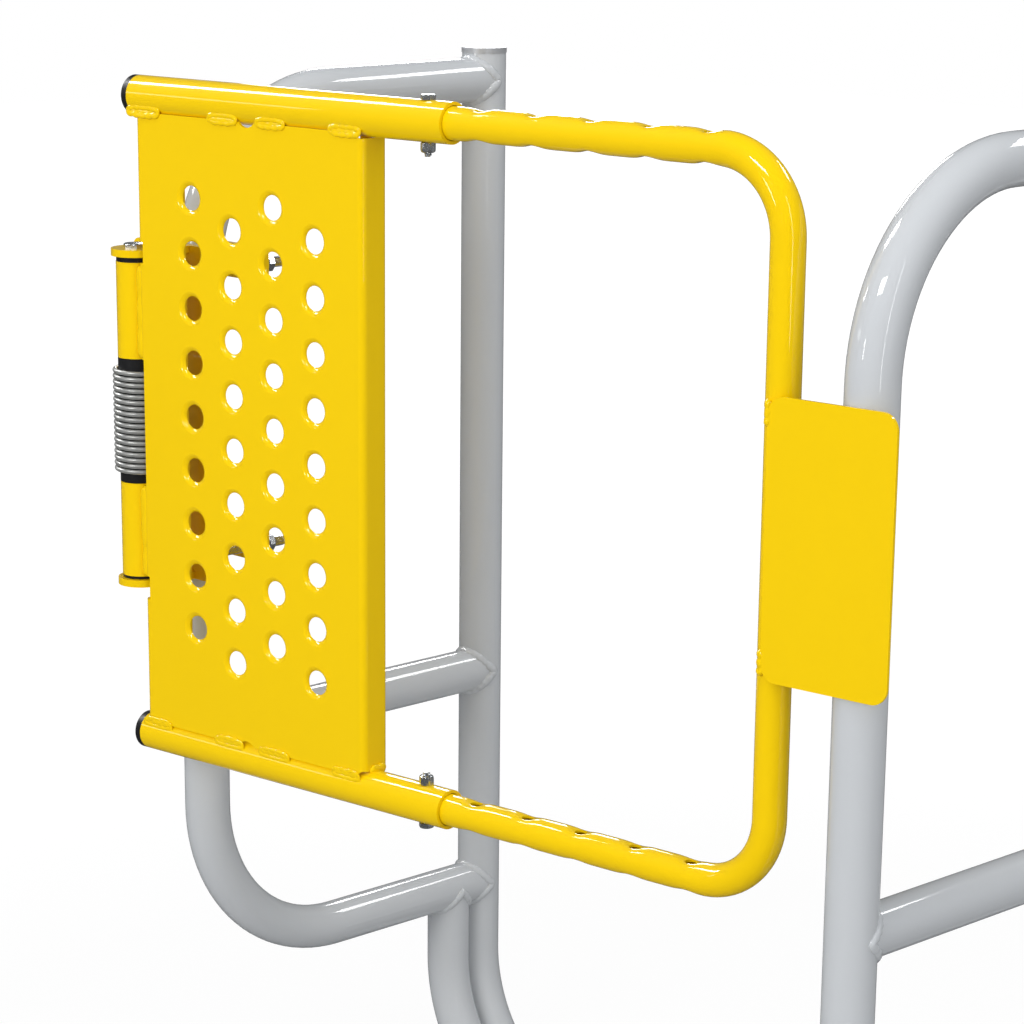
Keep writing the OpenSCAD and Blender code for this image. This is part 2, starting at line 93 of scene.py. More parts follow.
class Finish:
    """The nodes of a new material, or of a world, added one by one, each with its settings
    and its inputs."""

    def __init__(self, name, world=None):
        self.material = world or bpy.data.materials.new(name)
        self.material.use_nodes = True
        self.nodes = self.material.node_tree.nodes
        self.links = self.material.node_tree.links
        self.nodes.clear()
        self.output = self.nodes.new(f"ShaderNodeOutput{'World' if world else 'Material'}")

    def add(self, kind, settings=None, inputs=None, out=0):
        """A node of one kind, with its settings made first and then the values or links of
        its inputs, as a Socket on its output called or numbered out."""
        node = self.nodes.new(kind)
        for key, value in (settings or {}).items():
            setattr(node, key, value)
        for key, value in (inputs or {}).items():
            if isinstance(value, Socket):
                self.links.new(value.out, node.inputs[key])
            else:
                node.inputs[key].default_value = value
        return Socket(self, node.outputs[out])

    def place(self):
        """Where a point lies on the object, in metres."""
        return self.add("ShaderNodeTexCoord", out="Object")

    def noise(self, scale, detail=2.0, rough=0.5):
        """Soft random patches, scale of them to a metre."""
        return self.add("ShaderNodeTexNoise", {}, {
            "Vector": self.place(), "Scale": scale, "Detail": detail, "Roughness": rough})

    def mix(self, factor, a, b):
        """Colour a where the factor is 0, colour b where it is 1."""
        return self.add("ShaderNodeMix", {"data_type": "RGBA"}, {0: factor, 6: a, 7: b}, out=2)

    def done(self, shader):
        """Joins the shader to the output."""
        self.links.new(shader.out, self.output.inputs["Surface"])
        return self.material


def mesh_piece(name, points, faces, smooth=True):
    """A mesh object from an (n, 3) array of points and a list of corner numbers for each face."""
    mesh = bpy.data.meshes.new(name)
    mesh.from_pydata(np.asarray(points, float).tolist(), [], faces)
    mesh.polygons.foreach_set("use_smooth", [smooth] * len(mesh.polygons))
    mesh.update()
    thing = bpy.data.objects.new(name, mesh)
    bpy.context.collection.objects.link(thing)
    return thing


# The floor shows its shadow near the gate and runs out to plain white further off.
FLOOR_Z, REACH, FLOOR_GLOW = -0.001, 9.0, 1.08
GATE_FOOT, FADE_FROM, FADE_TO, NEAR_WHITE = (0.35, -0.15, 0), 0.9, 3.0, 0.86
room = Finish("white_room")
seen = room.add("ShaderNodeLightPath", out="Is Camera Ray")
lit = room.add("ShaderNodeBsdfDiffuse", {}, {"Color": (0.5, 0.5, 0.5, 1)})
plain = room.add("ShaderNodeEmission", {}, {"Color": (1, 1, 1, 1), "Strength": FLOOR_GLOW})
away = room.add("ShaderNodeVectorMath", {"operation": "DISTANCE"},
                {0: room.place(), 1: GATE_FOOT}, out=1)
white = room.add("ShaderNodeMapRange", {}, {
    "Value": away, "From Min": FADE_FROM, "From Max": FADE_TO, "To Min": NEAR_WHITE, "To Max": 1.0})
room.done(room.add("ShaderNodeMixShader", {}, {0: seen * white, 1: lit, 2: plain}))
floor = mesh_piece("floor", [(-REACH, -REACH, FLOOR_Z), (REACH, -REACH, FLOOR_Z),
                             (REACH, REACH, FLOOR_Z), (-REACH, REACH, FLOOR_Z)],
                   [(0, 1, 2, 3)], False)
floor.data.materials.append(room.material)
floor.visible_glossy = False

# The room as it lights surfaces, as gloss mirrors it, and as it shows behind the gate.
AROUND = (((0.97, 0.98, 1.0, 1), 0.56), ((0.9, 0.95, 1.0, 1), 0.08), ((1, 1, 1, 1), 1.0))
bpy.context.scene.world = bpy.data.worlds.new("studio")
sky = Finish("studio", bpy.context.scene.world)
lighting, mirrored, backdrop = (
    sky.add("ShaderNodeBackground", {}, {"Color": colour, "Strength": strength})
    for colour, strength in AROUND)
gloss_sees = sky.add("ShaderNodeLightPath", out="Is Glossy Ray")
camera_sees = sky.add("ShaderNodeLightPath", out="Is Camera Ray")
indoors = sky.add("ShaderNodeMixShader", {}, {0: gloss_sees, 1: lighting, 2: mirrored})
sky.done(sky.add("ShaderNodeMixShader", {}, {0: camera_sees, 1: indoors, 2: backdrop}))
MIDDLE = Vector((0.3, -0.4, 0.7))


def lamp(name, at, size, power, towards=MIDDLE, roll=0.0):
    """A rectangular lamp at one point, facing another, with its two sides in metres."""
    light = bpy.data.lights.new(name, "AREA")
    light.shape, light.size, light.size_y, light.energy = "RECTANGLE", size[0], size[1], power
    thing = bpy.data.objects.new(name, light)
    aim = (Vector(towards) - Vector(at)).to_track_quat("-Z", "Y")
    turned = aim.to_matrix().to_4x4() @ Matrix.Rotation(roll, 4, "Z")
    thing.matrix_world = Matrix.Translation(at) @ turned
    bpy.context.collection.objects.link(thing)
    return thing


for soft in (lamp("overhead_lamp", (0.9, -0.6, 3.4), (3.6, 0.9), 28),
             lamp("front_lamp", (0.6, -4.2, 1.9), (2.2, 2.2), 80),
             lamp("right_lamp", (4.2, -0.6, 1.7), (2.0, 2.4), 30)):
    soft.visible_glossy = False


def gloss_strip(name, aim, distance, size, glow, roll=0.0):
    """A bare strip that only glossy surfaces mirror, in the direction aim from the gate,
    with its brightness as radiance: power is pi times area times radiance."""
    strip = lamp(name, MIDDLE + Vector(aim).normalized() * distance, size,
                 math.pi * size[0] * size[1] * glow, MIDDLE, roll)
    strip.visible_diffuse = False
    return strip


gloss_strip("upper_strip", (-2.42, -0.66, 1.85), 3.1, (0.46, 1.75), 22, 0.22)
gloss_strip("rear_strip", (-0.69, 0.64, 0.35), 2.6, (0.6, 0.5), 14)
gloss_strip("front_strip", (-0.69, -0.66, 0.25), 2.6, (0.4, 0.2), 3)
gloss_strip("right_strip", (0.92, -0.30, 0.25), 3.0, (0.12, 2.2), 8)
gloss_strip("front_high_strip", (0.14, -0.75, 0.65), 3.0, (0.95, 0.42), 22)
gloss_strip("rear_high_strip", (0.25, 0.74, 0.63), 3.0, (0.95, 0.42), 14)
gloss_strip("low_front_strip", (-0.08, -0.98, 0.20), 3.0, (0.25, 0.5), 12)
bpy.context.scene.view_settings.view_transform = "Standard"

# ---------------------------------------------------------------------------
# Posts: two bent loops of steel tube, each welded to a straight rear upright,
# sprayed light grey in one coat that has flowed smooth.
# ---------------------------------------------------------------------------
POST_R = 0.02065
# Patches of tone, flecks and ripples of peel to a metre of paint, and how high the peel is.
PATCHES, FLECKS, RIPPLES, PEEL_HIGH = 6.0, 240.0, 330.0, 0.0006


def paint(name, colour, shade, rough, gloss, peel):
    """Sprayed paint: a soft-toned body under a clear glossy skin. The colour drifts a little
    towards shade in broad soft patches, and a ripple of peel stands in the surface."""
    coat = Finish(name)
    patches, fleck = coat.noise(PATCHES), coat.noise(FLECKS)
    ripple = coat.add("ShaderNodeBump", {}, {
        "Strength": peel, "Distance": PEEL_HIGH, "Height": coat.noise(RIPPLES, 1.5)})
    shader = coat.add("ShaderNodeBsdfPrincipled", {}, {
        "Base Color": coat.mix(patches * 0.7 + fleck * 0.2, colour, shade),
        "Roughness": rough + fleck * 0.08, "IOR": 1.45, "Specular IOR Level": 0.04,
        "Coat Weight": gloss, "Coat Roughness": 0.03, "Normal": ripple})
    return coat.done(shader)


def dress(material, *nodes):
    """Gives CAD nodes a finish."""
    for node in nodes:
        thing = frame["nodes"][node]
        if not thing.material_slots:
            thing.data.materials.append(material)
        for spot in thing.material_slots:
            spot.link = "OBJECT"
            spot.material = material


grey_paint = paint("post_grey", (0.585, 0.605, 0.625, 1), (0.565, 0.585, 0.605, 1),
                   0.45, 0.9, 0.05)
dress(grey_paint, *[f"{side}_{piece}" for side in ("left", "right")
                    for piece in ("post_loop", "mid_brace", "rear_upright", "lower_rail")])

# The discs on the rear uprights are bare plated steel.
plated = Finish("dull_plate")
cloud = plated.noise(60.0, 4.0)
plated.done(plated.add("ShaderNodeBsdfPrincipled", {}, {
    "Base Color": plated.mix(cloud, (0.60, 0.61, 0.63, 1), (0.50, 0.51, 0.53, 1)),
    "Metallic": 0.4, "Roughness": 0.34 + cloud * 0.12}))
dress(plated.material, "left_upright_cap", "right_upright_cap")

ROD_SIDES = 16


def swept(name, path, outward, across, rise, closed=False, sides=ROD_SIDES, lumps=None):
    """A closed rod carried along path: at each point an ellipse, across wide to the side and
    rise high towards outward, and lumps is added to both as a share for each point of the rod."""
    path = np.asarray(path, float)
    outward = np.broadcast_to(np.asarray(outward, float), path.shape)
    if closed:
        onward = np.roll(path, -1, 0) - np.roll(path, 1, 0)
    else:
        onward = np.gradient(path, axis=0)
    onward /= np.linalg.norm(onward, axis=1)[:, None]
    side = np.cross(outward, onward)
    side /= np.linalg.norm(side, axis=1)[:, None]
    up = np.cross(onward, side)
    turn = np.linspace(0, 2 * np.pi, sides + 1)[:-1]
    swell = 1 + (0 if lumps is None else lumps)
    wide = (np.asarray(across, float).reshape(-1, 1) * swell * np.cos(turn))[..., None]
    tall = (np.asarray(rise, float).reshape(-1, 1) * swell * np.sin(turn))[..., None]
    points = path[:, None, :] + wide * side[:, None, :] + tall * up[:, None, :]
    rows = len(path)
    i, j = np.meshgrid(np.arange(rows if closed else rows - 1), np.arange(sides), indexing="ij")
    k, l = (i + 1) % rows, (j + 1) % sides
    faces = np.stack([i * sides + j, k * sides + j, k * sides + l, i * sides + l], -1)
    faces = faces.reshape(-1, 4).tolist()
    if not closed:
        faces += [list(range(sides)), list(range((rows - 1) * sides, rows * sides))[::-1]]
    return mesh_piece(name, points.reshape(-1, 3), faces)


# A bead's thinnest share of its width, how much a drop swells it, how far drops differ, and
# how far the second wave leans round the rod.
THIN, DROP, STRAY, SLANT = 0.82, 0.20, 0.06, 1.8


def bead(name, path, outward, half, ripple, seed, closed=False, flat=0.7, rough=0.05):
    """A weld bead: a rod along path, half wide each way, that swells once per ripple length,
    like a row of overlapping drops, each a little larger or smaller than the next. A second
    wave runs aslant round the rod, rough high, so that the drops don't stand in a straight row."""
    rng = np.random.default_rng(seed)
    path = np.asarray(path, float)
    step = np.linalg.norm(np.diff(path, axis=0, append=path[:1] if closed else path[-1:]), axis=1)
    along = np.concatenate(([0], np.cumsum(step[:-1])))
    count = max(1, round(step.sum() / ripple))
    beat = along / step.sum() * count
    drops = rng.normal(0, 1, count + 3)
    swell = THIN + DROP * np.abs(np.sin(np.pi * beat))
    swell += STRAY * np.interp(beat, np.arange(count + 3), drops)
    if closed:
        swell -= STRAY * (beat / count) * (drops[count] - drops[0])
    else:
        edge = np.minimum(along, along[-1] - along) / half
        swell *= np.sqrt(np.clip(1 - (1 - np.clip(edge, 0, 1)) ** 2, 0.0004, 1))
    turn = np.linspace(0, 2 * np.pi, ROD_SIDES + 1)[:-1]
    start, lean = rng.uniform(0, 2 * np.pi, 2)
    aslant = np.sin(2 * np.pi * beat[:, None] + start + SLANT * np.sin(turn + lean)[None, :])
    return swept(name, path, outward, half * swell, half * flat * swell, closed,
                 lumps=rough * aslant)


def join(name, parts, material, body):
    """Several meshes as one piece, with its finish and the body that it rides on."""
    bpy.ops.object.select_all(action="DESELECT")
    for part in parts:
        part.select_set(True)
    bpy.context.view_layer.objects.active = parts[0]
    if len(parts) > 1:
        bpy.ops.object.join()
    parts[0].name = name
    parts[0].data.materials.clear()
    parts[0].data.materials.append(material)
    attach(parts[0], body)
    return parts[0]


SEAM_STEPS = 96


def saddle(crown, run, butt):
    """The seam where a tube that points along butt meets the side of another, of the same size,
    that runs along run, with both axes crossing at crown: a circle round the first, pushed back
    to the second's surface, and the direction half way between both outsides."""
    crown, run, butt = (np.asarray(v, float) for v in (crown, run, butt))
    third = np.cross(run, butt)
    turn = np.linspace(0, 2 * np.pi, SEAM_STEPS + 1)[:-1, None]
    across, length = POST_R * np.cos(turn), POST_R * np.sin(turn)
    depth = np.sqrt(np.maximum(POST_R ** 2 - across ** 2, 0))
    seam = crown + across * third + length * run + depth * butt
    tube = np.cos(turn) * third + np.sin(turn) * run
    return seam, tube + (across * third + depth * butt) / POST_R


POST_BEAD, POST_DROP = 0.0042, 0.0062
seed = 3
for side in ("left", "right"):
    cap_lo, cap_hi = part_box(f"{side}_upright_cap")
    upright = (cap_lo[0] + cap_hi[0]) / 2
    loop_lo, loop_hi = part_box(f"{side}_post_loop")
    front, low_return = loop_lo[1] + POST_R, loop_lo[2] + POST_R
    brace_lo, brace_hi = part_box(f"{side}_mid_brace")
    brace = (brace_lo[2] + brace_hi[2]) / 2
    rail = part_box(f"{side}_lower_rail")[1][1] - POST_R
    beads = []
    for crown, run, butt in (((upright, 0, loop_hi[2] - POST_R), (0, 0, 1), (0, -1, 0)),
                             ((upright, 0, low_return), (0, 0, 1), (0, -1, 0)),
                             ((upright, 0, brace), (0, 0, 1), (0, -1, 0)),
                             ((upright, front, brace), (0, 0, 1), (0, 1, 0)),
                             ((upright, rail, low_return), (0, 1, 0), (0, 0, -1))):
        seam, outward = saddle(crown, run, butt)
        seed += 1
        beads.append(bead("bead", seam, outward, POST_BEAD, POST_DROP, seed, closed=True))
    join(f"{side}_post_welds", beads, grey_paint, "posts")

# ---------------------------------------------------------------------------
# Hinge bracket and clamps: bent and cut steel plate, sprayed yellow, the two
# ears welded square to the back plate with a fillet above and below each.
# ---------------------------------------------------------------------------
bracket_paint = paint("bracket_yellow", (0.92, 0.61, 0.001, 1), (0.88, 0.57, 0.001, 1),
                      0.45, 0.8, 0.06)
dress(bracket_paint, "hinge_bracket", "upper_clamp_bar", "lower_clamp_bar")

HINGE = np.array(frame["joints"][0]["pos_m"])
bracket_lo, bracket_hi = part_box("hinge_bracket")
PLATE_T, EAR_HALF_W, FILLET, FILLET_DROP, FILLET_STEPS = 0.00635, 0.0195, 0.0034, 0.006, 48
# How far the middle of a bead stands out from the face that it is laid on.
PROUD = 0.0004
plate_face = bracket_hi[1] - PLATE_T
fillets = []
for height in (bracket_hi[2] - PLATE_T, bracket_lo[2] + PLATE_T):
    line = np.zeros((FILLET_STEPS, 3))
    line[:, 0] = HINGE[0] + np.linspace(-EAR_HALF_W, EAR_HALF_W, FILLET_STEPS)
    line[:, 1] = plate_face - PROUD
    line[:, 2] = height
    seed += 1
    inwards = -np.sign(height - HINGE[2])
    fillets.append(bead("fillet", line, (0, -1, inwards), FILLET, FILLET_DROP, seed))
join("ear_welds", fillets, bracket_paint, "posts")

# ---------------------------------------------------------------------------
# Bolts and nuts: bright zinc-plated steel, with chamfered hexagons and rolled
# threads. Two to each clamp pull it round the post, a long one is the hinge's
# pin, and one in each sleeve pins the extension tube at its adjusting place.
# ---------------------------------------------------------------------------
zinc = Finish("zinc_plate")
stain = zinc.noise(180.0, 4.0)
zinc.done(zinc.add("ShaderNodeBsdfPrincipled", {}, {
    "Base Color": zinc.mix(stain, (0.78, 0.80, 0.82, 1), (0.58, 0.60, 0.62, 1)),
    "Metallic": 0.95, "Roughness": 0.18 + stain * 0.14}))

# How many sides a turned piece has, and the angle from which an edge is left sharp.
LATHE_SIDES, EDGE_DEGREES = 48, 38


def lathe(name, base, axis, heights, radii, sides=LATHE_SIDES):
    """A closed solid round an axis: ring i lies heights[i] along axis from base, and radii is
    one row of radii for each ring, one number for each of its sides."""
    axis = np.asarray(axis, float) / np.linalg.norm(axis)
    first = np.cross(axis, (0.0, 1.0, 0.0) if abs(axis[1]) < 0.9 else (1.0, 0.0, 0.0))
    first /= np.linalg.norm(first)
    second = np.cross(axis, first)
    turn = np.linspace(0, 2 * np.pi, sides + 1)[:-1]
    radii = np.broadcast_to(np.asarray(radii, float), (len(heights), sides))
    points = (np.asarray(base, float) + np.asarray(heights, float)[:, None, None] * axis
              + (radii * np.cos(turn))[..., None] * first
              + (radii * np.sin(turn))[..., None] * second)
    rows = len(heights)
    i, j = np.meshgrid(np.arange(rows - 1), np.arange(sides), indexing="ij")
    l = (j + 1) % sides
    faces = np.stack([i * sides + j, i * sides + l, (i + 1) * sides + l, (i + 1) * sides + j], -1)
    faces = faces.reshape(-1, 4).tolist()
    faces += [list(range(sides))[::-1], list(range((rows - 1) * sides, rows * sides))]
    thing = mesh_piece(name, points.reshape(-1, 3), faces)
    thing.data.set_sharp_from_angle(angle=math.radians(EDGE_DEGREES))
    return thing


def six_sided(flats):
    """Radius of a hexagon at each turn: half its flats over the cosine of the angle from
    the middle of the nearest side."""
    turn = np.linspace(0, 2 * np.pi, LATHE_SIDES + 1)[:-1]
    return flats / 2 / np.cos((turn + np.pi / 6) % (np.pi / 3) - np.pi / 6)


# The slope that a hexagon's corners are turned off at, and its round end as a share of its flats.
CHAMFER, END_FACE = math.tan(math.radians(30)), 0.96


def hexagon(name, base, axis, flats, height, crowns=(True, True)):
    """A hexagon with its corners turned off at 30 degrees at the base, the top or both: at
    each height the radius is the smaller of the hexagon's and the cone's."""
    corners = six_sided(flats)
    face = flats / 2 * END_FACE
    bevel = (flats / math.sqrt(3) - face) * CHAMFER
    steps = np.linspace(0, 1, 5)
    low = steps * bevel if crowns[0] else np.array([0.0])
    high = height - steps[::-1] * bevel if crowns[1] else np.array([height])
    heights = np.concatenate([low, high])
    ends = np.minimum(heights if crowns[0] else height,
                      height - heights if crowns[1] else height)
    cone = face + ends / CHAMFER
    return lathe(name, base, axis, heights, np.minimum(corners[None, :], cone[:, None]))


# A thread's depth as a share of its pitch, how blunt its tip is turned down, and its grid.
THREAD_DEEP, TIP_TAPER, TIP_LEAST, THREAD_SIDES, THREAD_RINGS = 0.6, 0.12, 0.35, 24, 6


def thread(name, base, axis, length, radius, pitch):
    """A rolled thread: the radius falls and rises once per pitch and once per turn, so the
    ridge climbs as a screw, and the last pitch is turned down to a blunt tip."""
    heights = np.arange(0, length, pitch / THREAD_RINGS)
    turn = np.linspace(0, 1, THREAD_SIDES + 1)[:-1]
    phase = (heights[:, None] / pitch - turn[None, :]) % 1
    depth = THREAD_DEEP * pitch * (1 - np.abs(2 * phase - 1))
    taper = np.clip((length - heights) / pitch, TIP_LEAST, 1)[:, None]
    return lathe(name, base, axis, heights, radius - depth - TIP_TAPER * radius * (1 - taper),
                 THREAD_SIDES)


def disc(name, base, axis, thickness, radius):
    """A flat washer with its edges just broken."""
    edge = 0.0003
    return lathe(name, base, axis, [0, edge, thickness - edge, thickness],
                 np.array([radius - edge, radius, radius, radius - edge])[:, None])


# How far a shank runs up into its own head, so that no crack shows between them.
LAP = 0.0004
CLAMP_FLATS, CLAMP_HEAD_T, CLAMP_R, CLAMP_PITCH = 0.0143, 0.006, 0.00475, 0.0016
WASHER_T, WASHER_R, NUT_T = 0.002, CLAMP_FLATS * 0.72, 0.008
for level in ("upper", "lower"):
    head_lo, tip_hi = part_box(f"{level}_clamp_bolts")
    nut_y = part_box(f"{level}_clamp_nuts")[0][1]
    seat_y, height = head_lo[1] + CLAMP_HEAD_T, (head_lo[2] + tip_hi[2]) / 2
    corner = CLAMP_FLATS / math.sqrt(3)
    pieces, nuts = [], []
    for x in (head_lo[0] + corner, tip_hi[0] - corner):
        pieces.append(hexagon("head", (x, seat_y, height), (0, -1, 0), CLAMP_FLATS, CLAMP_HEAD_T,
                              (False, True)))
        pieces.append(thread("shank", (x, seat_y - LAP, height), (0, 1, 0), tip_hi[1] - seat_y,
                             CLAMP_R, CLAMP_PITCH))
        nuts.append(disc("washer", (x, nut_y, height), (0, 1, 0), WASHER_T, WASHER_R))
        nuts.append(hexagon("nut", (x, nut_y + WASHER_T, height), (0, 1, 0), CLAMP_FLATS, NUT_T))
    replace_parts(join(f"{level}_clamp_screws", pieces, zinc.material, "posts"),
                f"{level}_clamp_bolts")
    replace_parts(join(f"{level}_clamp_hex_nuts", nuts, zinc.material, "posts"),
                f"{level}_clamp_nuts")

PIN_FLATS, PIN_HEAD_T, PIN_NUT_T, PIN_R, PIN_EDGE = 0.018, 0.004, 0.0024, 0.00715, 0.0006
pin_lo, pin_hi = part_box("hinge_pin")
pin_seat = pin_hi[2] - PIN_HEAD_T
pieces = [hexagon("head", (HINGE[0], HINGE[1], pin_seat), (0, 0, 1), PIN_FLATS, PIN_HEAD_T,
                  (False, True)),
          lathe("shank", (HINGE[0], HINGE[1], pin_lo[2]), (0, 0, 1),
                [0, PIN_EDGE, pin_seat - pin_lo[2]],
                np.array([PIN_R - PIN_EDGE, PIN_R, PIN_R])[:, None])]
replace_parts(join("hinge_pin_bolt", pieces, zinc.material, "posts"), "hinge_pin")
nut_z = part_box("hinge_pin_nut")[0][2]
thin_nut = hexagon("nut", (HINGE[0], HINGE[1], nut_z), (0, 0, 1), PIN_FLATS, PIN_NUT_T)
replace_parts(join("hinge_pin_thin_nut", [thin_nut], zinc.material, "posts"),
            "hinge_pin_nut")

ADJUST_FLATS, ADJUST_HEAD_T, ADJUST_R, ADJUST_PITCH = 0.0111, 0.0041, 0.0032, 0.00127
# The lock nut: its height, the height of its hexagon, its broken edge at the seat, and its
# collar's least and greatest radius.
LOCK_T, LOCK_HEX_T, LOCK_EDGE, SEAT_R = 0.008, 0.0052, 0.0005, 0.0057
COLLAR_LEAST, COLLAR_MOST, COLLAR_BEND = 0.0035, 0.0064, 0.96
for level, up in (("top", 1), ("bottom", -1)):
    bolt_lo, bolt_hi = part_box(f"{level}_adjust_bolt")
    nut_lo, nut_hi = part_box(f"{level}_adjust_nut")
    x, y = (bolt_lo[0] + bolt_hi[0]) / 2, (bolt_lo[1] + bolt_hi[1]) / 2
    head_z, tip_z = (bolt_hi[2], bolt_lo[2]) if up > 0 else (bolt_lo[2], bolt_hi[2])
    seat_z = nut_hi[2] if up > 0 else nut_lo[2]
    down = (0, 0, -up)
    pieces = [hexagon("head", (x, y, head_z - up * ADJUST_HEAD_T), (0, 0, up), ADJUST_FLATS,
                      ADJUST_HEAD_T, (False, True)),
              thread("shank", (x, y, head_z - up * (ADJUST_HEAD_T - LAP)), down,
                     abs(head_z - tip_z) - ADJUST_HEAD_T, ADJUST_R, ADJUST_PITCH)]
    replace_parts(join(f"{level}_adjust_screw", pieces, zinc.material, "gate"),
                f"{level}_adjust_bolt")
    # The lock nut's outer end narrows in a quarter of an ellipse round its nylon ring.
    rings = np.linspace(0, 1, 9)
    heights = np.concatenate([[0, LOCK_EDGE], LOCK_HEX_T + (LOCK_T - LOCK_HEX_T) * rings])
    dome = COLLAR_LEAST + (COLLAR_MOST - COLLAR_LEAST) * np.sqrt(1 - (COLLAR_BEND * rings) ** 2)
    limit = np.concatenate([[SEAT_R, ADJUST_FLATS], dome])
    nut = lathe("nut", (x, y, seat_z), down, heights,
                np.minimum(six_sided(ADJUST_FLATS)[None, :], limit[:, None]))
    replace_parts(join(f"{level}_adjust_lock_nut", [nut], zinc.material, "gate"),
                f"{level}_adjust_nut")

# ---------------------------------------------------------------------------
# Closing spring: galvanised round wire wound close round a black plastic tube,
# which stands on the pin between the barrels. Bushings and caps are black too.
# ---------------------------------------------------------------------------
black = Finish("black_plastic")
speck = black.noise(700.0)
black.done(black.add("ShaderNodeBsdfPrincipled", {}, {
    "Base Color": black.mix(speck, (0.010, 0.010, 0.011, 1), (0.018, 0.018, 0.019, 1)),
    "Roughness": 0.3 + speck * 0.12, "Specular IOR Level": 0.3,
    "Normal": black.add("ShaderNodeBump", {}, {
        "Strength": 0.08, "Distance": 0.0004, "Height": speck})}))
dress(black.material, "spring_tube", "upper_bushing", "lower_bushing",
      "top_end_cap", "bottom_end_cap")

wire = Finish("galvanised_wire")
bloom = wire.noise(260.0, 4.0, 0.6)
wire.done(wire.add("ShaderNodeBsdfPrincipled", {}, {
    "Base Color": wire.mix(bloom, (0.56, 0.56, 0.54, 1), (0.40, 0.41, 0.40, 1)),
    "Metallic": 0.6, "Roughness": 0.30 + bloom * 0.15}))

spring_lo, spring_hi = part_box("torsion_spring")
WIRE_R, WIRE_SIDES, TURNS, PER_TURN = 0.0021, 14, 18, 48
coil_r = (spring_hi[0] - spring_lo[0]) / 2 - WIRE_R
# The angle grows evenly while the wire sinks by its own share of the height, so the coil
# falls to the right across its front.
angle = np.linspace(0, 2 * np.pi * TURNS, TURNS * PER_TURN)
sink = (spring_hi[2] - spring_lo[2] - 2 * WIRE_R) * angle / angle[-1]
winding = np.stack([HINGE[0] + coil_r * np.cos(angle), HINGE[1] + coil_r * np.sin(angle),
                    spring_hi[2] - WIRE_R - sink], 1)
away_from_pin = np.stack([np.cos(angle), np.sin(angle), 0 * angle], 1)
spring = swept("closing_spring", winding, away_from_pin, WIRE_R, WIRE_R, sides=WIRE_SIDES)
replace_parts(join("closing_spring", [spring], wire.material, "posts"), "torsion_spring")

# ---------------------------------------------------------------------------
# Gate: a folded and pierced sheet between two tubes, stitch welded along its
# top and bottom edges and sprayed yellow, so welds and tubes share one coat.
# ---------------------------------------------------------------------------
gate_paint = paint("gate_yellow", (0.95, 0.635, 0.001, 1), (0.93, 0.61, 0.001, 1),
                   0.45, 1.0, 0.05)
dress(gate_paint, "upper_barrel", "lower_barrel", "panel", "top_sleeve", "bottom_sleeve",
      "strike_plate")
# The angle at which the closed gate stands to the line between the posts.
SWING = math.radians(4.7083)


def on_gate(points):
    """Turns points of the gate's own frame, hinge axis at zero, into the room's frame."""
    x, y, z = np.moveaxis(np.asarray(points, float), -1, 0)
    return np.stack([HINGE[0] + x * math.cos(SWING) - y * math.sin(SWING),
                     HINGE[1] + x * math.sin(SWING) + y * math.cos(SWING), HINGE[2] + z], -1)


LINE_STEPS = 64


def straight_bead(start, end, outward, half, ripple, seed, flat=0.7, rough=0.05):
    """A bead between two points of the gate's frame, laid towards outward."""
    line = on_gate(np.linspace(start, end, LINE_STEPS))
    towards = on_gate(outward) - on_gate((0, 0, 0))
    return bead("bead", line, np.broadcast_to(towards, line.shape), half, ripple, seed,
                flat=flat, rough=rough)


# Each stitch is one bead laid round a long oval over the panel's edge, its middle filled flat.
# The panel's face and its top and bottom edges are given from the hinge's axis and middle.
PANEL_FACE, SEAM = -0.01336, 0.2684
OVAL_BEAD, OVAL_DROP, OVAL_INSET = 0.0027, 0.0075, 0.0022
OVAL_HALF_HIGH, OVAL_LIFT, SQUARENESS, OVAL_STEPS = 0.0033, 0.0008, 0.7, 120
FILL_BEAD, FILL_DROP, FILL_INSET = 0.0046, 0.009, 0.002


def oval_stitch(start, end, up, seed, calm):
    """A weld round a racetrack from start to end: an ellipse whose corners are filled out by
    raising its cosine and sine to the power 0.7, with a broad flat bead inside it. A calm of
    less than 1 lays the bead flatter and smoother."""
    turn = np.linspace(0, 2 * np.pi, OVAL_STEPS + 1)[:-1]
    wide, high = (np.sign(wave) * np.abs(wave) ** SQUARENESS
                  for wave in (np.cos(turn), np.sin(turn)))
    x = (start + end) / 2 + ((end - start) / 2 - OVAL_INSET) * wide
    z = up * (SEAM + OVAL_LIFT + OVAL_HALF_HIGH * high)
    ring = on_gate(np.stack([x, np.full_like(x, PANEL_FACE - PROUD), z], -1))
    lean = (0, -1, 0.2 * up)
    outward = np.broadcast_to(on_gate(lean) - on_gate((0, 0, 0)), ring.shape)
    return [bead("bead", ring, outward, OVAL_BEAD, OVAL_DROP, seed, True,
                 0.62 * calm, 0.07 * calm),
            straight_bead((start + FILL_INSET, PANEL_FACE, z.mean()),
                          (end - FILL_INSET, PANEL_FACE, z.mean()),
                          lean, FILL_BEAD, FILL_DROP, seed + 1, 0.30, 0.05)]


# Where each stitch starts and ends along the panel's edge, from the hinge's axis.
stitches = []
for up, spans in ((1, ((0.0085, 0.049), (0.1065, 0.142), (0.163, 0.197), (0.246, 0.282))),
                  (-1, ((0.014, 0.050), (0.105, 0.140), (0.159, 0.196), (0.246, 0.279)))):
    for start, end in spans:
        seed += 2
        stitches += oval_stitch(start, end, up, seed, 1 if up > 0 else 0.75)
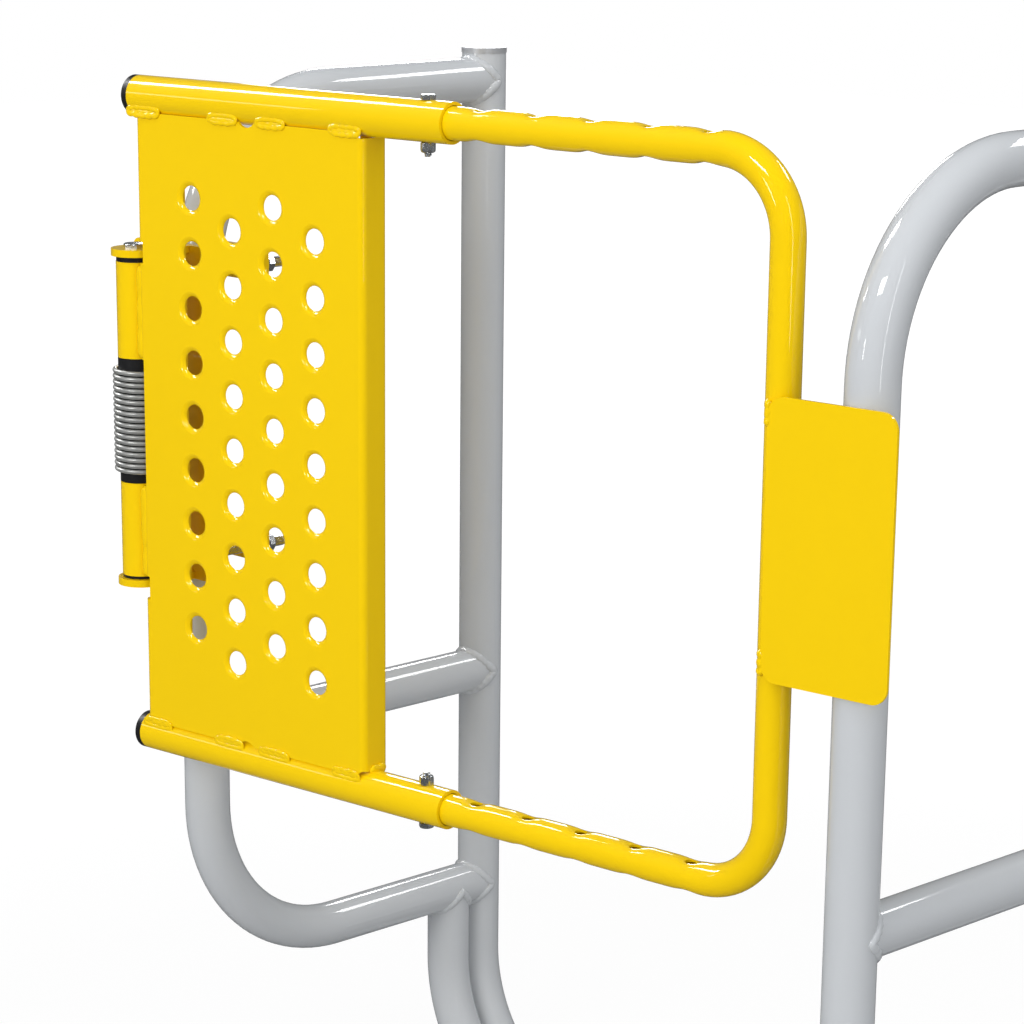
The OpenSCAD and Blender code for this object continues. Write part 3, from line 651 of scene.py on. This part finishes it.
# One bead more, under the foot of the panel's side flange, from its face to its back.
FLANGE_X, FLANGE_Z, FLANGE_FROM, FLANGE_TO = 0.2832, -0.2640, -0.006, 0.013
FLANGE_BEAD, FLANGE_DROP = 0.0056, 0.011
stitches.append(straight_bead((FLANGE_X, FLANGE_FROM, FLANGE_Z), (FLANGE_X, FLANGE_TO, FLANGE_Z),
                              (1, 0, -0.3), FLANGE_BEAD, FLANGE_DROP, seed + 2, 0.55, 0.06))
join("panel_stitch_welds", stitches, gate_paint, "gate")

# The barrels are welded along the panel's rounded fold, and the bead is dressed flush.
BARREL_END, BARREL_DROP = 0.001, 0.03
seams = []
for level in ("upper", "lower"):
    low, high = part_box(f"{level}_barrel")
    foot, top = low[2] + BARREL_END - HINGE[2], high[2] - BARREL_END - HINGE[2]
    for x, y, towards, half in ((0.0178, PANEL_FACE + 0.0036, (-0.2, -1, 0), 0.0054),
                                (0.0156, 0.0115, (-0.3, 1, 0), 0.0034)):
        seed += 1
        seams.append(straight_bead((x, y, foot), (x, y, top), towards, half, BARREL_DROP, seed,
                                   0.66, 0.01))
join("barrel_welds", seams, gate_paint, "gate")

# The strike plate is tacked to the free tube along both sides of it, at its top and its foot.
# The tube's distance from the hinge's axis and its radius are the extension tube's own.
strike_lo, strike_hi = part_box("strike_plate")
STRIKE_HALF, TUBE_AT, TUBE_R = (strike_hi[2] - strike_lo[2]) / 2, 0.694, 0.01335
TACK_FROM, TACK_TO, TACK_DROP = 0.003, 0.024, 0.007
blobs = []
for up in (-1, 1):
    top, base = up * (STRIKE_HALF - TACK_FROM), up * (STRIKE_HALF - TACK_TO)
    for x, y, towards, half in ((TUBE_AT - 0.0035, -0.0138, (-0.6, -1, 0), 0.0038),
                                (TUBE_AT + 0.009, -0.0112, (1, 0.6, 0), 0.0034)):
        seed += 1
        blobs.append(straight_bead((x, y, base), (x, y, top), towards, half, TACK_DROP, seed))
join("strike_plate_welds", blobs, gate_paint, "gate")

# ---------------------------------------------------------------------------
# Extension tube: one bent tube, pierced through both arms at each adjusting
# place, where the punch has pressed a dimple round every hole.
# ---------------------------------------------------------------------------
tube_lo, tube_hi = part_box("extension_tube")
WALL, BEND_R, HOLE_R, HOLE_SIDES, HOLE_EDGE_DEGREES = 0.0021, 0.062, 0.0052, 32, 40
# The bolt stands in the third hole of each arm, and the arm begins a little before the first.
BOLT_AT, PITCH, HOLES = 0.342, 0.0557, 8
ARM = (tube_hi[2] - tube_lo[2]) / 2 - TUBE_R
FIRST = BOLT_AT - 2 * PITCH
ARM_START = FIRST - 0.014
DIMPLE, DIMPLE_LONG, DIMPLE_WIDE = 0.0034, 0.0080, 0.0065
places = FIRST + PITCH * np.arange(HOLES)
# Rings of the grid along an arm, round a bend and down half of the free length.
ARM_RINGS, BEND_RINGS, FREE_RINGS, ROUND = 190, 22, 6, 48


def tube_shell(radius):
    """The tube's surface: a circle carried along two arms, two bends and the free length
    between them, its radius pressed in by a bell-shaped dimple at the top and the bottom of
    each hole, falling off along the arm and round it."""
    arm_x = np.linspace(ARM_START, TUBE_AT - BEND_R, ARM_RINGS)
    swing = np.linspace(0, np.pi / 2, BEND_RINGS)[1:-1]
    fall = np.linspace(ARM - BEND_R, 0, FREE_RINGS)[:-1]
    run = np.concatenate([arm_x, TUBE_AT - BEND_R + BEND_R * np.sin(swing),
                          np.full(len(fall), TUBE_AT)])
    height = np.concatenate([np.full(len(arm_x), ARM), ARM - BEND_R + BEND_R * np.cos(swing),
                             fall])
    out_x = np.concatenate([np.zeros(len(arm_x)), np.sin(swing), np.ones(len(fall))])
    out_z = np.concatenate([np.ones(len(arm_x)), np.cos(swing), np.zeros(len(fall))])
    run = np.concatenate([run, [TUBE_AT], run[::-1]])
    height = np.concatenate([height, [0], -height[::-1]])
    out_x = np.concatenate([out_x, [1], out_x[::-1]])
    out_z = np.concatenate([out_z, [0], -out_z[::-1]])
    turn = np.linspace(0, 2 * np.pi, ROUND + 1)[:-1]
    along = np.exp(-((run[:, None] - places) / DIMPLE_LONG) ** 2).sum(1)
    along *= np.abs(height) > ARM - 0.001
    side = np.minimum(np.abs((turn + np.pi) % (2 * np.pi) - np.pi), np.abs(turn - np.pi))
    press = DIMPLE * along[:, None] * np.exp(-(TUBE_R * side / DIMPLE_WIDE) ** 2)[None, :]
    reach = (radius - press)[..., None]
    outward = np.stack([out_x, 0 * out_x, out_z], 1)[:, None, :]
    return (np.stack([run, 0 * run, height], 1)[:, None, :]
            + reach * np.cos(turn)[None, :, None] * outward
            + reach * np.sin(turn)[None, :, None] * np.array([0.0, -1.0, 0.0]))


# The outer skin, the lining turned round, and a rim between them at each end of the tube.
outer, inner = tube_shell(TUBE_R), tube_shell(TUBE_R - WALL)
rows, cols = outer.shape[:2]
i, j = np.meshgrid(np.arange(rows - 1), np.arange(cols), indexing="ij")
l = (j + 1) % cols
skin = np.stack([i * cols + j, (i + 1) * cols + j, (i + 1) * cols + l, i * cols + l], -1)
skin = skin.reshape(-1, 4)
lining = skin[:, ::-1] + rows * cols
j = np.arange(cols)
l = (j + 1) % cols
first_rim = np.stack([j, l, l + rows * cols, j + rows * cols], -1)
last = (rows - 1) * cols
last_rim = np.stack([last + l, last + j, last + j + rows * cols, last + l + rows * cols], -1)
corners = np.concatenate([outer.reshape(-1, 3), inner.reshape(-1, 3)])
shell = mesh_piece("dimpled_tube", on_gate(corners),
                   np.concatenate([skin, lining, first_rim, last_rim]).tolist())

# One drill for each hole goes through both walls of its arm.
DRILL_HALF = 0.02
drills = []
for x in places:
    for z in (-ARM, ARM):
        drills.append(lathe("drill", on_gate((x, 0, z - DRILL_HALF)), (0, 0, 1),
                            [0, 2 * DRILL_HALF], np.full((2, 1), HOLE_R), HOLE_SIDES))
bpy.ops.object.select_all(action="DESELECT")
for drill in drills:
    drill.select_set(True)
bpy.context.view_layer.objects.active = drills[0]
bpy.ops.object.join()
cut = shell.modifiers.new("holes", "BOOLEAN")
cut.operation, cut.solver, cut.object = "DIFFERENCE", "EXACT", drills[0]
bpy.context.view_layer.update()
evaluated = shell.evaluated_get(bpy.context.evaluated_depsgraph_get())
pierced = bpy.data.meshes.new_from_object(evaluated)
shell.modifiers.clear()
shell.data = pierced
bpy.data.objects.remove(drills[0])
pierced.polygons.foreach_set("use_smooth", [True] * len(pierced.polygons))
pierced.set_sharp_from_angle(angle=math.radians(HOLE_EDGE_DEGREES))
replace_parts(join("dimpled_extension_tube", [shell], gate_paint, "gate"),
            "extension_tube")
